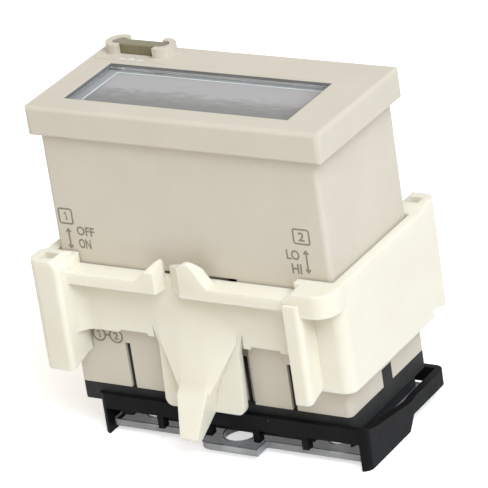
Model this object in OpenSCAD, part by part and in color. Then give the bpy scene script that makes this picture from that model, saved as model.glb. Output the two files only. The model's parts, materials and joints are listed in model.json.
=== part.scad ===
// Panel counter for a 48 x 24 mm cut-out, standing on its rear end with the display up.
// The origin is the middle of the panel seat, the rear face of the bezel.
// +Z points out of the panel, X runs along the long side and Y along the short side.

/* [Case] */
// Width of the bezel
bezel_w = 48; // [47.5:0.5:56]
// Height of the bezel
bezel_h = 24; // [24:0.5:30]
// Thickness of the bezel in front of the panel
bezel_t = 4.6; // [4.2:0.1:6]
// Radius of the bezel's corners
bezel_r = 1.1; // [0.5:0.1:2]
// Radius of the bezel's front edges
bezel_edge = 0.8; // [0.3:0.1:1.2]
// Width of the body behind the panel
body_w = 45; // [45:0.5:46.5]
// Height of the body behind the panel
body_h = 22; // [22:0.5:23]
// Depth of the body behind the panel
body_d = 39.4; // [38.4:0.2:44]
// Radius of the body's long edges
body_r = 0.8; // [0.3:0.1:1.2]
// Thickness of the body's walls
wall = 1.5; // [1.3:0.1:1.8]
// Thickness of the front wall
face_t = 1.8; // [1.4:0.1:2]

/* [Display] */
// Width of the window opening
window_w = 36.5; // [30:0.5:40.5]
// Height of the window opening
window_h = 12.7; // [10:0.1:14.2]
// Sideways offset of the window
window_x = -0.85; // [-1:0.05:0]
// Offset of the window along the short side
window_y = -2.05; // [-2.1:0.05:-1.9]
// Depth of the window below the front face
window_recess = 0.4; // [0.1:0.1:0.8]
// Margin of the window's flange around the opening
window_flange = 0.9; // [0.5:0.1:1]
// Thickness of the window's flange
flange_t = 0.8; // [0.5:0.1:1]
// Thickness of the display glass
glass_t = 1.8; // [1:0.1:2]
// Overlap of the display glass past the opening
glass_lap = 0.3; // [0.1:0.05:0.3]
// Thickness of the reflector sheet
reflector_t = 0.2; // [0.1:0.05:0.3]
// Height of the gap between the glass and the board
strip_h = 2.6; // [2:0.1:3.5]
// Width of the connector strips
strip_w = 1.6; // [1:0.1:2]

/* [Reset key] */
// Sideways place of the key's middle
key_x = -16.6; // [-17.2:0.1:-16]
// Place of the key's middle along the short side
key_y = 8.9; // [8.7:0.1:9]
// Length of the key's cap
key_w = 9.2; // [6:0.2:9.4]
// Width of the key's cap
key_h = 2; // [1.6:0.1:2.2]
// Wall of the collar round the key
collar_wall = 1; // [0.7:0.1:1.2]
// Height of the collar above the front face
collar_h = 1.6; // [1.2:0.1:2]
// Width of the gaps that split the collar
collar_gap = 6; // [3:0.1:6.4]
// Travel of the key
key_travel = 0.8; // [0.4:0.1:0.9]

/* [Bracket] */
// Distance from the panel seat down to the bracket's pads
bracket_drop = 18.1; // [17:0.1:19]
// Height of the bracket from its pads to its feet
bracket_h = 16.6; // [16:0.2:18]
// Thickness of the bracket's end walls
bracket_end_t = 1.5; // [1.2:0.1:2]
// Thickness of the bracket's webs
web_t = 1.3; // [1:0.1:1.5]
// Depth of the rails below the pads
rail_step = 1.7; // [1:0.1:2.2]
// Thickness of the rails
rail_t = 1.8; // [1.4:0.1:2.4]
// Reach of the rails from the body
rail_reach = 3.7; // [3:0.1:4.2]
// Height of the webs below the rails' top
web_h = 9.8; // [9:0.1:11]
// Width of the corner posts
post_w = 5; // [4.4:0.1:6]
// Reach of the corner posts from the body
post_reach = 5.8; // [5.4:0.1:8]
// Rise of the corner posts above the pads
post_rise = 0.7; // [0.2:0.1:1]
// Width of the corner ribs
rib_w = 2.5; // [1.6:0.1:3]
// Reach of the corner ribs from the body
rib_reach = 5.4; // [3.8:0.1:6]
// Width of the spring legs
leg_w = 13.2; // [11:0.1:13.4]
// Thickness of the spring legs
leg_t = 1; // [0.8:0.1:1.3]
// Length of the spring legs below the pads
leg_h = 21.9; // [20:0.1:22]
// Outward lean of the spring legs at their lower end
leg_lean = 0.9; // [0.9:0.1:2]
// Height of the taller prong above the rail
prong_h = 3.6; // [3:0.1:3.8]
// Pitch of the ratchet teeth
tooth_pitch = 1.4; // [1.2:0.1:2]
// Depth of the ratchet's recess
ratchet_depth = 0.8; // [0.6:0.05:0.9]

/* [Terminals] */
// Sideways offset of the terminals and their guard
term_x = 2.75; // [2.5:0.05:3]
// Sideways distance of the screws from the middle of the terminals
screw_dx = 15.2; // [13:0.1:15.4]
// Distance of the screws from the middle along the short side
screw_dy = 6.6; // [6:0.1:6.8]
// Thickness of the block's rim
rim_t = 2.8; // [2.4:0.1:3]
// Height of the terminal chambers below the rim
chamber_h = 2.7; // [2.6:0.1:3.6]
// Length of the guard ring
guard_w = 44.4; // [44:0.1:45]
// Thickness of the guard's walls
guard_t = 1.2; // [1:0.1:1.4]
// Thickness of the clear cover
cover_t = 1.2; // [0.8:0.1:1.4]
// Height of the guard's feet below the cover
foot_h = 0.8; // [0.4:0.1:1.2]
// Reach of the cover's thumb lobe past its edge
lobe_reach = 2.8; // [2:0.1:4]

/* [Inner parts] */
// Diameter of the battery
battery_d = 14.2; // [12:0.1:14.4]
// Length of the battery
battery_l = 25; // [20:0.5:26]
// Thickness of the circuit boards
board_t = 1; // [0.8:0.1:1.6]
// Travel of the selector knobs
selector_travel = 1.6; // [1:0.1:1.8]

/* [Hidden] */
$fn = 48;
// Sliding clearance, and the smaller clearance of fixed fits
slide_gap = 0.3;
fit_gap = 0.1;
// Overlap that makes a cut pass right through a face
eps = 0.05;

face_z = bezel_t;
inner_z = bezel_t - face_t;
inner_w = body_w - 2 * wall;
inner_h = body_h - 2 * wall;
rear_z = -body_d;

glass_top = inner_z - flange_t;
glass_bottom = glass_top - glass_t;
board_top = glass_bottom - strip_h;
board_bottom = board_top - board_t;
board_w = inner_w - 2 * slide_gap;
board_h = inner_h - 2 * slide_gap;
glass_w = window_w + 2 * glass_lap;
glass_h = window_h + 2 * glass_lap;
holder_rim = 0.6;
holder_w = glass_w + 2 * (holder_rim + fit_gap);
holder_h = glass_h + 2 * (holder_rim + fit_gap);
ledge_w = 0.8;
ledge_t = 0.6;
strip_y = glass_h / 2 - ledge_w - fit_gap - strip_w / 2;
strip_l = window_w - 3;

collar_w = key_w + 2 * (fit_gap + collar_wall);
collar_d = key_h + 2 * (fit_gap + collar_wall);
key_flange = 0.7;
key_flange_t = 0.8;
key_sink = 0.15;
key_top = face_z + collar_h - key_sink;
gap_shift = 0.05;
key_room_top = inner_z - fit_gap;
key_room_bottom = key_room_top - key_flange_t - key_travel - slide_gap;
stem_w = 3;
stem_h = 1.6;
stem_y = inner_h / 2 - slide_gap - stem_h / 2 - 0.1;
pad_h = 1.4;
stem_bottom = board_top + pad_h + key_travel + slide_gap;

slit_w = 0.8;
slit_key_sink = 0.4;
slit_h = 7.2;
slit_inner_x = 5.7;
slit_outer_x = 13.4;
notch_w = 2.8;
notch_h = 2.7;
ratchet_w = 13.8;
ratchet_top = -19.6;
teeth_w = 9;
teeth = 8;

bracket_gap = 0.3;
end_in = body_w / 2 + bracket_gap;
end_out = end_in + bracket_end_t;
web_in = body_h / 2 + bracket_gap;
web_out = web_in + web_t;
pad_z = -bracket_drop;
foot_z = pad_z - bracket_h;
rail_z = pad_z - rail_step;
rail_out = body_h / 2 + rail_reach;
post_out = body_h / 2 + post_reach;
rib_out = body_h / 2 + rib_reach;
post_in = end_out - post_w;
rib_inset = 5.3;
rib_x = body_w / 2 - rib_inset;
rib_drop = 0.5;
web_bottom = rail_z - web_h;
corner_r = 1.8;
flange_r = 3;
flange_out = rib_out - 0.4;
post_r = 1.5;
blend_r = 2.4;
post_top = pad_z + post_rise;
post_fall = 1.2;
post_pocket = 2.6;
foot_rise = 1.1;
pad_d = 2.4;
pad_x = body_w / 2 - 4.1;
pad_slope = 2.1;
post_pad_x = body_w / 2 - 3.5;
core_wall = 1.4;
web_step = 0.4;
web_step_x0 = 8.5;
web_step_x1 = 13.4;
leg_out = web_out + leg_lean;
leg_in = leg_out - leg_t;
leg_bottom = pad_z - leg_h;
leg_r = 1.2;
leg_slot = 0.8;
leg_slot_top = web_bottom + 2.1;
leg_root = leg_slot_top + 1;
leg_taper = 3;
spine_top = rail_z - 2;
spine_out = web_out + 3;
spine_ridge_w = 4.2;
spine_fall = 1.3;
spine_bottom_w = 4.8;
tab_out = web_out + 6.2;
tab_drop = 16.7;
tab_top = pad_z - tab_drop;
tab_shoulder = 1.4;
tab_bottom = leg_bottom - 2.5;
tab_root = 4.6;
tab_w = 4.8;
tab_tip_w = 2.3;
groove_x = -3.5;
groove_back_w = 1.15;
groove_lean = 0.5;
groove_flare = 2.6;
pawl_z = foot_z + 2.4;
pawl_w = 8;
pawl_h = 1.6;
pawl_gap = 0.15;

rim_z = rear_z - rim_t;
chamber_z = rim_z - chamber_h;
block_gap = 0.3;
guard_half = guard_w / 2;
guard_left = term_x - guard_half;
guard_right = term_x + guard_half;
guard_front = body_h / 2 + block_gap + 0.9;
block_left = guard_left + guard_t + 0.6;
block_right = guard_right - guard_t - 2.4;
block_h = 2 * screw_dy + 6.4;
snap_reach = 0.6;
snap_t = 0.6;
snap_top = rim_z - 0.9;
cover_top = chamber_z - 0.2;
cover_bottom = cover_top - cover_t;
guard_bottom = cover_bottom - foot_h;
bar_top = rim_z + 1.7;
bar_bottom = bar_top - 2.4;
back_bar_top = rim_z - 0.4;
back_bar_bottom = back_bar_top - 2.45;
lobe_w = 10;
lobe_hole_r = 2.5;
skirt_t = 1;
skirt_h = 7.6;

board_pad_h = 0.8;
board_pad_w = 2;
board_pad_x = 7;
rear_board_bottom = rear_z + board_pad_h;
rear_board_top = rear_board_bottom + board_t;
rear_board_w = inner_w - 2 * (skirt_t + fit_gap + slide_gap);
rear_board_h = inner_h - 2 * (skirt_t + fit_gap + slide_gap);

pocket_w = 5.8;
strap_t = 0.7;
strap_w = 4.8;
blade_t = 0.8;
screw_r = 1.5;
screw_head_r = 2.5;
screw_head_t = 1.2;
washer_t = 0.5;
access_r = 2.2;
well_w = 17;
well_h = 7.4;
selector_dx = 4.2;
selector_w = 7;
selector_h = 6.4;
selector_drop = 4;
knob_w = 2.4;
knob_h = 2.2;
knob_tip = 1.4;

battery_z = board_bottom - 1.5 - battery_d / 2;
battery_x = -1.5;
cradle_t = 1.2;
cradle_top = battery_z - battery_d / 2 - 0.4;
cradle_w = board_w;
cradle_h = board_h;
cradle_post = 2.4;
saddle_t = 2;
saddle_rise = 4.5;
tab_strip_t = 0.3;
tab_strip_w = 4;
chip_x = -4;
crystal_r = 1;
crystal_l = 6;
crystal_off = 1.6;
crystal_gap = 0.6;
pin_r = 0.3;
pin_pitch = 2;
pins = 6;
pin_inset = 4;
pin_slot_w = 2;
pin_x = inner_w / 2 - pin_inset;

// Shared shapes

// A rectangle with round corners, centred on the origin
module round_rect(w, h, r) {
    difference() {
        square([w, h], center = true);
        for (sx = [-1, 1], sy = [-1, 1])
            translate([sx * w / 2, sy * h / 2]) corner_cut(sx, sy, r);
    }
}

// What a round of radius r takes off the corner that points along sx and sy
module corner_cut(sx, sy, r) {
    difference() {
        translate([-r * (sx + 1) / 2 + eps * (sx - 1) / 2, -r * (sy + 1) / 2 + eps * (sy - 1) / 2])
            square(r + eps);
        translate([-sx * r, -sy * r]) circle(r);
    }
}

// A box between two corners
module span(a, b) {
    translate(a) cube(b - a);
}

// A shape drawn in X and Z, pulled along Y from y0 to y1
module pull_y(y0, y1) {
    translate([0, y1, 0]) rotate([90, 0, 0]) linear_extrude(y1 - y0) children();
}

// A shape drawn in Y and Z, pulled along X from x0 to x1
module pull_x(x0, x1) {
    translate([x0, 0, 0]) rotate([90, 0, 90]) linear_extrude(x1 - x0) children();
}

// An oblong with round ends, centred on the origin
module oblong(w, h) {
    square([w - h, h], center = true);
    for (s = [-1, 1]) translate([s * (w - h) / 2, 0]) circle(h / 2);
}

// The upright outline of the bezel, with round front edges and a small chamfer behind
module bezel_side(w) {
    chamfer = 0.3;
    difference() {
        translate([-w / 2, 0]) square([w, bezel_t]);
        for (s = [-1, 1]) {
            translate([s * w / 2, bezel_t]) corner_cut(s, 1, bezel_edge);
            translate([s * w / 2, 0]) rotate(45) square(chamfer * sqrt(2), center = true);
        }
    }
}

// Both long sides of the part: the front one, and the same turned half a turn
module both_sides() {
    children();
    rotate([0, 0, 180]) children();
}

// The four terminal places
module each_terminal() {
    for (sx = [-1, 1], sy = [-1, 1])
        translate([term_x + sx * screw_dx, sy * screw_dy, 0])
            rotate([0, 0, sy > 0 ? 0 : 180]) children();
}

// Case

module bezel_solid() {
    intersection() {
        linear_extrude(bezel_t) round_rect(bezel_w, bezel_h, bezel_r);
        pull_y(-bezel_h, bezel_h) bezel_side(bezel_w);
        pull_x(-bezel_w, bezel_w) bezel_side(bezel_h);
    }
}

module collar() {
    translate([key_x, key_y, face_z - eps]) linear_extrude(collar_h + eps) difference() {
        oblong(collar_w, collar_d);
        translate([gap_shift, 0]) square([collar_gap, collar_d + 1], center = true);
    }
}

module case_cavity() {
    cavity_h = inner_z - rear_z + eps;
    translate([-inner_w / 2, -inner_h / 2, rear_z - eps]) cube([inner_w, inner_h, cavity_h]);
    // Room for the display's holder and the window's flange, where they are wider than the cavity
    translate([window_x, window_y, board_top]) linear_extrude(glass_top - board_top + eps)
        square([holder_w + 2 * fit_gap, holder_h + 2 * fit_gap], center = true);
    flange_room = 2 * (window_flange + fit_gap);
    translate([window_x, window_y, glass_top]) linear_extrude(flange_t)
        square([window_w + flange_room, window_h + flange_room], center = true);
    // Room for the key's flange, inside the bezel only
    room_w = key_w + 2 * (key_flange + slide_gap);
    room_h = key_h + 2 * (key_flange + slide_gap);
    translate([key_x - room_w / 2, key_y - room_h / 2, key_room_bottom])
        cube([room_w, room_h, inner_z - key_room_bottom]);
}

// Slits that free the rear tongues, open at the rear edge
module case_slits() {
    for (x = [-slit_outer_x, -slit_inner_x, slit_inner_x, slit_outer_x])
        translate([x - slit_w / 2, -body_h / 2 - 1, rear_z - eps])
            cube([slit_w, wall + 2, slit_h + eps]);
}

// Recess of the ratchet, open at the rear edge
module ratchet_recess() {
    translate([-ratchet_w / 2, -body_h / 2 - 1, rear_z - eps])
        cube([ratchet_w, 1 + ratchet_depth, ratchet_top - rear_z + eps]);
}

// Saw teeth that stand on the floor of the recess
module ratchet_teeth() {
    floor_y = -body_h / 2 + ratchet_depth;
    tip_y = floor_y - ratchet_depth + 0.2;
    pull_x(-teeth_w / 2, teeth_w / 2)
        for (i = [0 : teeth - 1]) {
            top = ratchet_top - 0.6 - i * tooth_pitch;
            polygon([[floor_y + eps, top], [tip_y, top], [floor_y + eps, top - tooth_pitch * 0.9]]);
        }
}

module case() {
    color([0.82, 0.77, 0.68]) union() {
        difference() {
            union() {
                bezel_solid();
                translate([0, 0, rear_z]) linear_extrude(body_d + eps)
                    round_rect(body_w, body_h, body_r);
                collar();
            }
            case_cavity();
            translate([window_x - window_w / 2, window_y - window_h / 2, inner_z - eps])
                cube([window_w, window_h, face_t + 1]);
            translate([key_x, key_y, inner_z - eps]) linear_extrude(face_t + collar_h + 1)
                oblong(key_w + 2 * fit_gap, key_h + 2 * fit_gap);
            both_sides() {
                case_slits();
                ratchet_recess();
                translate([body_w / 2 - wall - 1, -notch_w / 2, rear_z - eps])
                    cube([wall + 2, notch_w, notch_h + eps]);
            }
        }
        both_sides() ratchet_teeth();
    }
}

// Display

module display_window() {
    color([0.75, 0.78, 0.8, 0.4]) translate([window_x, window_y, 0]) union() {
        translate([0, 0, glass_top]) linear_extrude(flange_t)
            square([window_w + 2 * window_flange, window_h + 2 * window_flange], center = true);
        translate([0, 0, inner_z - eps]) linear_extrude(face_t - window_recess + eps)
            square([window_w - 2 * fit_gap, window_h - 2 * fit_gap], center = true);
    }
}

module lcd_cell() {
    color([0.6, 0.62, 0.64]) translate([window_x, window_y, glass_bottom])
        linear_extrude(glass_t) square([glass_w, glass_h], center = true);
}

module lcd_reflector() {
    reflector_h = 2 * (strip_y - strip_w / 2 - fit_gap);
    color([0.8, 0.8, 0.8]) translate([window_x, window_y, glass_bottom - reflector_t])
        linear_extrude(reflector_t) square([glass_w - 2 * ledge_w, reflector_h], center = true);
}

// Frame that stands on the board and carries the glass on a ledge
module lcd_holder() {
    color([0.2, 0.2, 0.21]) translate([window_x, window_y, 0]) difference() {
        translate([0, 0, board_top]) linear_extrude(glass_top - board_top)
            square([holder_w, holder_h], center = true);
        translate([0, 0, glass_bottom]) linear_extrude(glass_t + eps)
            square([glass_w + 2 * fit_gap, glass_h + 2 * fit_gap], center = true);
        translate([0, 0, board_top - eps]) linear_extrude(glass_top - board_top)
            square([glass_w - 2 * ledge_w, glass_h - 2 * ledge_w], center = true);
        translate([0, 0, board_top - eps]) linear_extrude(strip_h - ledge_t + eps)
            square([glass_w, glass_h - 2 * ledge_w], center = true);
    }
}

module connector_strips() {
    color([0.85, 0.5, 0.45]) translate([window_x, window_y, board_top])
        for (s = [-1, 1])
            translate([-strip_l / 2, s * strip_y - strip_w / 2, 0])
                cube([strip_l, strip_w, strip_h]);
}

module display_board() {
    color([0.15, 0.4, 0.25]) translate([0, 0, board_bottom]) linear_extrude(board_t)
        square([board_w, board_h], center = true);
}

// Cast drop over the bare chip
module controller_chip() {
    drop_r = 3.6;
    drop_h = 1.1;
    ball_r = (drop_r * drop_r + drop_h * drop_h) / (2 * drop_h);
    color([0.1, 0.1, 0.1]) translate([chip_x, 0, board_bottom]) intersection() {
        translate([0, 0, ball_r - drop_h]) sphere(ball_r);
        translate([0, 0, -drop_h]) cylinder(r = drop_r + 1, h = drop_h);
    }
}

module crystal() {
    can_y = -tab_strip_w / 2 - crystal_gap - crystal_l;
    color([0.75, 0.75, 0.77])
        translate([battery_x + battery_l / 2 + crystal_off, can_y, board_bottom - crystal_r])
            rotate([-90, 0, 0]) cylinder(r = crystal_r, h = crystal_l);
}

module capacitors() {
    chip_size = [1.2, 2, 0.9];
    color([0.6, 0.5, 0.4]) for (y = [2.4, 5.4])
        translate([battery_x + battery_l / 2 + 1, y, board_bottom - chip_size.z]) cube(chip_size);
}

// Reset key

module reset_key() {
    flange_w = key_w + 2 * key_flange;
    flange_h = key_h + 2 * key_flange;
    color([0.42, 0.41, 0.35]) union() {
        translate([key_x, key_y, key_room_top - eps])
            linear_extrude(key_top - key_room_top + eps) oblong(key_w, key_h);
        translate([key_x, key_y, key_room_top - key_flange_t]) linear_extrude(key_flange_t)
            oblong(flange_w, flange_h);
        translate([key_x - stem_w / 2, stem_y - stem_h / 2, stem_bottom])
            cube([stem_w, stem_h, key_room_top - stem_bottom - eps]);
    }
}

module key_contact() {
    pad_r = 0.9;
    color([0.2, 0.2, 0.2]) translate([key_x, stem_y - 0.1, board_top])
        cylinder(r = pad_r, h = pad_h);
}

// Battery and boards

module battery() {
    cap_r = 2.6;
    cap_h = 0.6;
    color([0.55, 0.6, 0.65]) translate([battery_x, 0, battery_z]) rotate([0, 90, 0]) union() {
        translate([0, 0, -battery_l / 2]) cylinder(d = battery_d, h = battery_l);
        translate([0, 0, battery_l / 2 - eps]) cylinder(r = cap_r, h = cap_h + eps);
    }
}

// Welded strips from the battery's ends up to the board
module battery_tabs() {
    low = battery_z - tab_strip_w / 2;
    plus_x = battery_x + battery_l / 2 + 0.6;
    minus_x = battery_x - battery_l / 2 - tab_strip_t;
    color([0.75, 0.74, 0.7]) for (x = [minus_x, plus_x])
        span([x, -tab_strip_w / 2, low], [x + tab_strip_t, tab_strip_w / 2, board_bottom]);
}

// Moulded frame between the two boards, with saddles for the battery
module battery_cradle() {
    leg_x = rear_board_w / 2 - cradle_post;
    leg_y = rear_board_h / 2 - cradle_post;
    post_x = cradle_w / 2 - cradle_post;
    post_y = cradle_h / 2 - cradle_post / 2;
    color([0.25, 0.25, 0.27]) difference() {
        union() {
            translate([0, 0, cradle_top - cradle_t]) linear_extrude(cradle_t)
                round_rect(cradle_w, cradle_h, 1);
            for (sx = [-1, 1], sy = [-1, 1]) {
                x0 = sx > 0 ? post_x : -cradle_w / 2;
                y0 = sy > 0 ? post_y : -cradle_h / 2;
                span([x0, y0, cradle_top - eps],
                     [x0 + cradle_post, y0 + cradle_post / 2, board_bottom]);
                lx = sx > 0 ? leg_x : -leg_x - cradle_post;
                ly = sy > 0 ? leg_y : -leg_y - cradle_post;
                span([lx, ly, rear_board_top],
                     [lx + cradle_post, ly + cradle_post, cradle_top - cradle_t + eps]);
            }
            for (s = [-1, 1])
                translate([battery_x + s * battery_l / 3 - saddle_t / 2, -battery_d / 2 + 0.6,
                           cradle_top - eps])
                    cube([saddle_t, battery_d - 1.2, saddle_rise]);
        }
        translate([battery_x, 0, battery_z]) rotate([0, 90, 0])
            cylinder(d = battery_d + 2 * fit_gap, h = battery_l + 2, center = true);
        // Slot that the link pins pass through
        translate([pin_x, 0, cradle_top - cradle_t - 1]) linear_extrude(cradle_t + 2)
            square([pin_slot_w, pins * pin_pitch + 1], center = true);
    }
}

module link_pins() {
    color([0.8, 0.7, 0.4]) for (i = [0 : pins - 1])
        translate([pin_x, (i - (pins - 1) / 2) * pin_pitch, rear_board_top])
            cylinder(r = pin_r, h = board_bottom - rear_board_top);
}

module terminal_board() {
    color([0.15, 0.4, 0.25]) translate([0, 0, rear_board_bottom]) linear_extrude(board_t)
        square([rear_board_w, rear_board_h], center = true);
}

// Selectors

// Place of a selector's middle along the long side
function selector_x(i) = term_x + (i == 1 ? -1 : 1) * selector_dx;

module selector_bodies() {
    slot_l = knob_h + selector_travel + 2 * slide_gap;
    slot_d = 2;
    color([0.12, 0.12, 0.13]) for (i = [1, 2])
        translate([selector_x(i), 0, rear_board_bottom - selector_drop]) difference() {
            translate([-selector_w / 2, -selector_h / 2, 0])
                cube([selector_w, selector_h, selector_drop]);
            translate([-knob_w / 2 - slide_gap, -slot_l / 2, -1])
                cube([knob_w + 2 * slide_gap, slot_l, slot_d + 1]);
        }
}

// Knob at the end of its travel nearest the front
module selector_knob(i) {
    base_bottom = rear_board_bottom - selector_drop + 0.2;
    base_h = 1.5;
    tip_bottom = chamber_z + 0.7;
    color([0.85, 0.84, 0.8]) translate([selector_x(i), -selector_travel / 2, 0]) union() {
        translate([-knob_w / 2, -knob_h / 2, base_bottom]) cube([knob_w, knob_h, base_h]);
        translate([-knob_tip / 2, -knob_tip / 2, tip_bottom])
            cube([knob_tip, knob_tip, base_bottom - tip_bottom + eps]);
    }
}

module selector_knob_1() {
    selector_knob(1);
}

module selector_knob_2() {
    selector_knob(2);
}

// Terminals

// Key in one slit of the front wall, sunk below the wall's outer face
module slit_key(x, sink) {
    half = slit_w / 2 - fit_gap;
    span([x - half, -body_h / 2 + sink, rear_z - eps],
         [x + half, -inner_h / 2 + fit_gap + skirt_t / 2, rear_z + slit_h - fit_gap]);
}

module terminal_block() {
    boss_w = notch_w - 2 * fit_gap;
    skirt_w = inner_w - 2 * fit_gap;
    skirt_d = inner_h - 2 * fit_gap;
    block_w = block_right - block_left;
    block_x = (block_left + block_right) / 2;
    color([0.13, 0.13, 0.14]) difference() {
        union() {
            translate([0, 0, rim_z]) linear_extrude(rim_t) round_rect(body_w, body_h, body_r);
            // Skirt inside the case, with pads that carry the board
            translate([0, 0, rear_z - eps]) linear_extrude(skirt_h + eps) difference() {
                square([skirt_w, skirt_d], center = true);
                square([skirt_w - 2 * skirt_t, skirt_d - 2 * skirt_t], center = true);
            }
            for (sx = [-1, 1], sy = [-1, 1])
                translate([sx * board_pad_x, sy * (rear_board_h / 2 - board_pad_w / 2),
                           rear_z - eps])
                    linear_extrude(board_pad_h + eps) square(board_pad_w, center = true);
            // Keys that fill the slits of the case
            both_sides() for (s = [-1, 1]) {
                slit_key(s * slit_outer_x, slit_key_sink);
                slit_key(s * slit_inner_x, ratchet_depth + slit_key_sink / 2);
            }
            // Latch bosses in the notches of the end walls
            both_sides() span([inner_w / 2 - fit_gap - skirt_t, -boss_w / 2, rear_z - eps],
                              [body_w / 2, boss_w / 2, rear_z + notch_h - fit_gap]);
            // Terminal chambers and the ledges that hold the guard
            translate([block_x, 0, chamber_z]) linear_extrude(chamber_h + eps)
                round_rect(block_w, block_h, 0.8);
            translate([block_x, 0, snap_top - snap_t]) linear_extrude(snap_t)
                square([block_w - 4, block_h + 2 * snap_reach], center = true);
        }
        each_terminal() {
            translate([-pocket_w / 2, -pocket_w / 2, chamber_z - eps])
                cube([pocket_w, pocket_w + 4, chamber_h + eps]);
            translate([0, 0, rim_z - 1]) cylinder(r = screw_r + fit_gap, h = rim_t + 2);
            translate([-strap_w / 2 - fit_gap, -pocket_w / 2 + fit_gap, rim_z - 1])
                cube([strap_w + 2 * fit_gap, blade_t + fit_gap, rim_t + 2]);
        }
        // Well for the selectors
        translate([term_x - well_w / 2, -well_h / 2, chamber_z - 1])
            cube([well_w, well_h, chamber_h + rim_t + 2]);
    }
}

// Bent strap: a tapped plate under the rim, and a blade up to the board
module terminal_straps() {
    plate_y0 = -pocket_w / 2 + fit_gap * 1.5;
    color([0.78, 0.72, 0.5]) each_terminal() difference() {
        union() {
            span([-strap_w / 2, plate_y0, rim_z - strap_t], [strap_w / 2, strap_w / 2, rim_z]);
            span([-strap_w / 2, plate_y0, rim_z - eps],
                 [strap_w / 2, plate_y0 + blade_t, rear_board_bottom]);
        }
        translate([0, 0, rim_z - strap_t - 1]) cylinder(r = screw_r, h = strap_t + 2);
    }
}

module terminal_washers() {
    washer_w = 5;
    color([0.75, 0.75, 0.76]) each_terminal()
        translate([0, 0, rim_z - strap_t - washer_t]) difference() {
            translate([-washer_w / 2, -washer_w / 2, 0]) cube([washer_w, washer_w, washer_t]);
            translate([0, 0, -1]) cylinder(r = screw_r + fit_gap, h = washer_t + 2);
        }
}

module terminal_screws() {
    head_top = rim_z - strap_t - washer_t;
    slot_w = 0.8;
    slot_d = 0.7;
    color([0.7, 0.7, 0.71]) each_terminal() difference() {
        union() {
            translate([0, 0, head_top - screw_head_t])
                cylinder(r = screw_head_r, h = screw_head_t);
            translate([0, 0, head_top - eps])
                cylinder(r = screw_r, h = rim_z + rim_t - fit_gap - head_top);
        }
        for (a = [0, 90]) rotate([0, 0, a])
            translate([-screw_head_r * 0.7, -slot_w / 2, head_top - screw_head_t - 1])
                cube([screw_head_r * 1.4, slot_w, slot_d + 1]);
    }
}

// The end wall nearest the pull loop: tall at the front, a thin bar at the back
module guard_right_side() {
    polygon([
        [-guard_front, guard_bottom], [-guard_front, bar_top], [-guard_front + 3, bar_top - 0.9],
        [1.4, back_bar_top - 0.3], [3.2, back_bar_top], [guard_front, back_bar_top],
        [guard_front, back_bar_bottom], [1.8, back_bar_bottom], [0.2, guard_bottom]
    ]);
}

module guard_left_side() {
    polygon([
        [-guard_front, guard_bottom], [-guard_front, bar_top],
        [-body_h / 2 - block_gap, bar_top], [-body_h / 2 - block_gap, rim_z - fit_gap],
        [-guard_front + 5, bar_bottom],
        [guard_front - 4, back_bar_top], [guard_front, back_bar_top], [guard_front, guard_bottom]
    ]);
}

module terminal_guard() {
    bar_t = guard_front - body_h / 2 - block_gap;
    lip_in = block_h / 2 + 0.2;
    fin_t = 1;
    fin_step = 8;
    fin_in = block_h / 2 + snap_reach + 0.2;
    ring_r = 1.5;
    color([0.12, 0.12, 0.13]) intersection() {
        union() {
            pull_x(guard_right - guard_t, guard_right) guard_right_side();
            pull_x(guard_left, guard_left + guard_t) guard_left_side();
            span([guard_left, -guard_front, bar_bottom],
                 [guard_right, -guard_front + bar_t, bar_top]);
            span([guard_left, guard_front - bar_t, back_bar_bottom],
                 [guard_right, guard_front, back_bar_top]);
            // Lips that snap round the block's ledges
            span([block_left + 4, -guard_front + bar_t - eps, snap_top + 0.2],
                 [block_right - 4, -lip_in, rim_z - 0.2]);
            span([block_left + 4, lip_in, back_bar_bottom + 0.5],
                 [block_right - 4, guard_front - bar_t + eps, snap_top - snap_t - fit_gap]);
            // Fins that part the wires and carry the cover
            for (i = [-1.5 : 1 : 1.5])
                translate([term_x + i * fin_step - fin_t / 2, 0, 0])
                    span([0, -guard_front + 0.3, cover_top], [fin_t, -fin_in, bar_bottom + eps]);
        }
        translate([term_x, 0, guard_bottom - 1]) linear_extrude(rim_t + chamber_h + 8)
            round_rect(guard_w, 2 * guard_front, ring_r);
    }
}

module terminal_cover() {
    cover_w = guard_w - 2 * guard_t - 2 * fit_gap;
    cover_h = 2 * (guard_front - 1.2);
    lobe_y = -cover_h / 2 - lobe_reach;
    color([0.8, 0.82, 0.84, 0.4]) translate([term_x, 0, cover_bottom]) linear_extrude(cover_t)
        difference() {
            union() {
                round_rect(cover_w, cover_h, 0.6);
                translate([-lobe_w / 2, lobe_y]) square([lobe_w, lobe_reach + 1]);
            }
            translate([-lobe_w / 2, lobe_y]) corner_cut(-1, -1, 2);
            translate([0, lobe_y + lobe_hole_r + 1.7]) circle(lobe_hole_r);
            for (sx = [-1, 1], sy = [-1, 1])
                translate([sx * screw_dx, sy * screw_dy]) circle(access_r);
        }
}

// Mounting bracket

// Outline of the end wall and of the corner with the rib
module corner_outline() {
    difference() {
        union() {
            translate([end_in, -web_out]) square([bracket_end_t, web_out + web_in + web_t / 2]);
            translate([rib_x, -web_out]) square([end_out - rib_x, web_t]);
        }
        translate([end_out, -web_out]) corner_cut(1, -1, corner_r);
    }
}

module rib_outline() {
    difference() {
        translate([rib_x, -rib_out]) square([rib_w, rib_out - web_in]);
        translate([rib_x + rib_w, -rib_out]) corner_cut(1, -1, 0.8);
    }
}

module post_outline() {
    difference() {
        translate([-end_out, -post_out]) square([post_w, post_out - web_in]);
        translate([-end_out, -post_out]) corner_cut(-1, -1, post_r);
        translate([-post_in, -post_out]) corner_cut(1, -1, 0.8);
    }
}

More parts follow.
